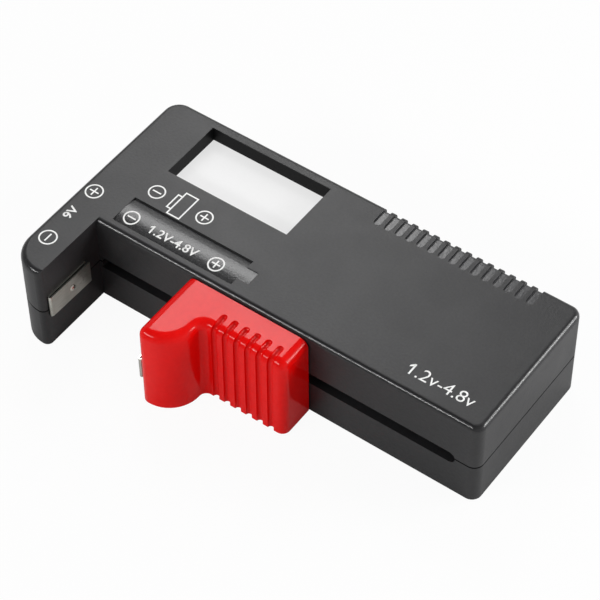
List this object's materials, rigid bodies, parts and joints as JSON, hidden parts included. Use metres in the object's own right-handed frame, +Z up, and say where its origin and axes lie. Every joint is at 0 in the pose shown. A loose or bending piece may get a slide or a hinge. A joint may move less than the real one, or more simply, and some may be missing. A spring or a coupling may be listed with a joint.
{
  "type": "battery tester",
  "caption": "Pocket battery tester: L-shaped black case with a fixed contact arm, a sliding red contact jaw in a front slot, a display window and side contacts.",
  "frame": {"origin": "centre of the whole part's bounding box in plan, on the plane of the case's base, with the slider as it stands at rest", "axes": "+X along the case, from the end with the fixed arm to the plain right end; +Y from the slotted front with the jaw to the back edge with the finger grooves; +Z up, out of the face with the display"},
  "size_m": [0.11, 0.0598, 0.0245],
  "materials": {
    "top_shell": "black moulded ABS with a fine spark texture",
    "bottom_shell": "black moulded ABS with a fine spark texture",
    "zinc_steel": "zinc plated steel screws",
    "display_film": "pale grey polarising film, nearly white when no segment is lit",
    "display_glass": "clear float glass",
    "reflector_film": "matt silver reflecting film",
    "white_plastic": "white moulded frame",
    "grey_rubber": "grey silicone rubber with conducting layers",
    "board_laminate": "green lacquered glass-fibre laminate",
    "black_resin": "black epoxy",
    "ferrite": "dark grey sintered ferrite",
    "copper_wire": "enamelled copper wire",
    "capacitor_can": "bare aluminium can",
    "resistor_lacquer": "blue-green lacquer on a ceramic rod, tinned leads",
    "chip_resistor": "black glaze on a ceramic chip",
    "chip_capacitor": "tan ceramic chip",
    "solder": "bright tin solder",
    "nickel_brass": "nickel plated brass strip, dulled",
    "rivet_brass": "plain brass",
    "nickel_strip": "nickel plated spring steel",
    "black_lead": "black PVC insulation",
    "blue_lead": "blue PVC insulation",
    "red_lead": "red PVC insulation",
    "red_plastic": "glossy red moulded ABS",
    "natural_plastic": "natural acetal, slippery",
    "spring_bronze": "phosphor bronze spring strip"
  },
  "bodies": {
    "housing": {"top_shell": "top_shell", "bottom_shell": "bottom_shell", "case_screws": "zinc_steel", "lcd_polariser": "display_film", "lcd_glass": "display_glass", "lcd_reflector": "reflector_film", "lcd_frame": "white_plastic", "zebra_strip": "grey_rubber", "circuit_board": "board_laminate", "controller_blob": "black_resin", "boost_chip": "black_resin", "boost_inductor": "ferrite", "inductor_winding": "copper_wire", "storage_capacitor": "capacitor_can", "load_resistor": "resistor_lacquer", "rectifier_diode": "black_resin", "chip_resistors": "chip_resistor", "chip_capacitors": "chip_capacitor", "solder_joints": "solder", "board_screws": "zinc_steel", "contact_rail": "nickel_brass", "rail_rivets": "rivet_brass", "arm_contact_base": "nickel_strip", "side_contact_negative": "nickel_strip", "side_contact_positive": "nickel_strip", "arm_lead": "black_lead", "negative_lead": "blue_lead", "positive_lead": "red_lead", "rail_lead": "red_lead"},
    "arm_leaf": {"arm_contact_leaf": "nickel_strip"},
    "slider": {"slider_jaw": "red_plastic", "slider_carriage": "natural_plastic", "carriage_screws": "zinc_steel", "slider_contact_base": "nickel_strip", "slider_wiper": "spring_bronze", "wiper_screws": "zinc_steel"},
    "slider_leaf": {"slider_contact_leaf": "nickel_strip"}
  },
  "joints": [
    {"name": "slider_travel", "type": "slide", "parent": "housing", "child": "slider", "axis": [1, 0, 0], "range_m": [-0.022, 0.0385]},
    {"name": "arm_leaf_flex", "type": "hinge", "parent": "housing", "child": "arm_leaf", "pos_m": [-0.0452, -0.0279, 0.0125], "axis": [0, 0, 1], "range_deg": [0, 1.8], "stiffness_Nm_per_rad": 0.5},
    {"name": "slider_leaf_flex", "type": "hinge", "parent": "slider", "child": "slider_leaf", "pos_m": [-0.0202, -0.0279, 0.0093], "axis": [0, 0, -1], "range_deg": [0, 1.8], "stiffness_Nm_per_rad": 0.5}
  ]
}
